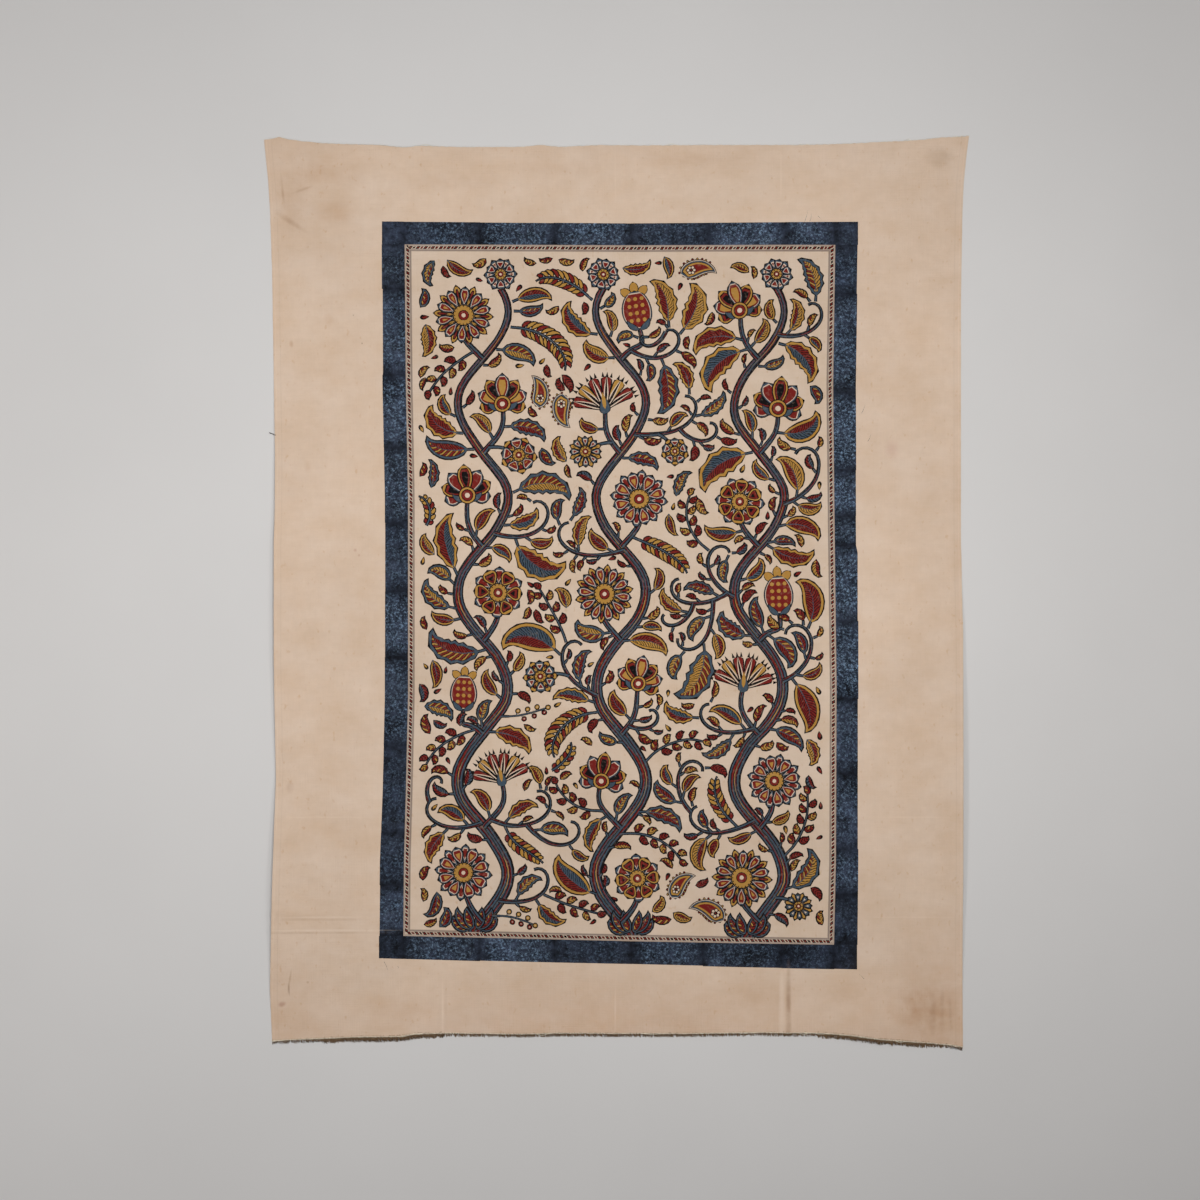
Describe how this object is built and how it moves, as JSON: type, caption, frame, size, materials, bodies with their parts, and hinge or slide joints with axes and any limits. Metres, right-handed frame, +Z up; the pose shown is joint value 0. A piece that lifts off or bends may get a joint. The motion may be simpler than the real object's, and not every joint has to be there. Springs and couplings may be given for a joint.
{
  "type": "kalamkari panel of printed cotton",
  "caption": "Length of cotton printed in the kalamkari way, laid out flat: wide plain margins, an indigo block-printed frame and a flower trellis inside it.",
  "frame": {"origin": "centre of the bounding rectangle, at the surface that the cloth rests on", "axes": "+X across the cloth from left selvedge to right selvedge, +Y up the picture to its upper torn end, +Z up off the surface"},
  "size_m": [1.128, 1.458, 0.007],
  "materials": {
    "printed_cotton": "matt plain-weave cotton with mordant and indigo prints"
  },
  "bodies": {
    "root": {"cotton_panel": "printed_cotton"}
  },
  "joints": []
}
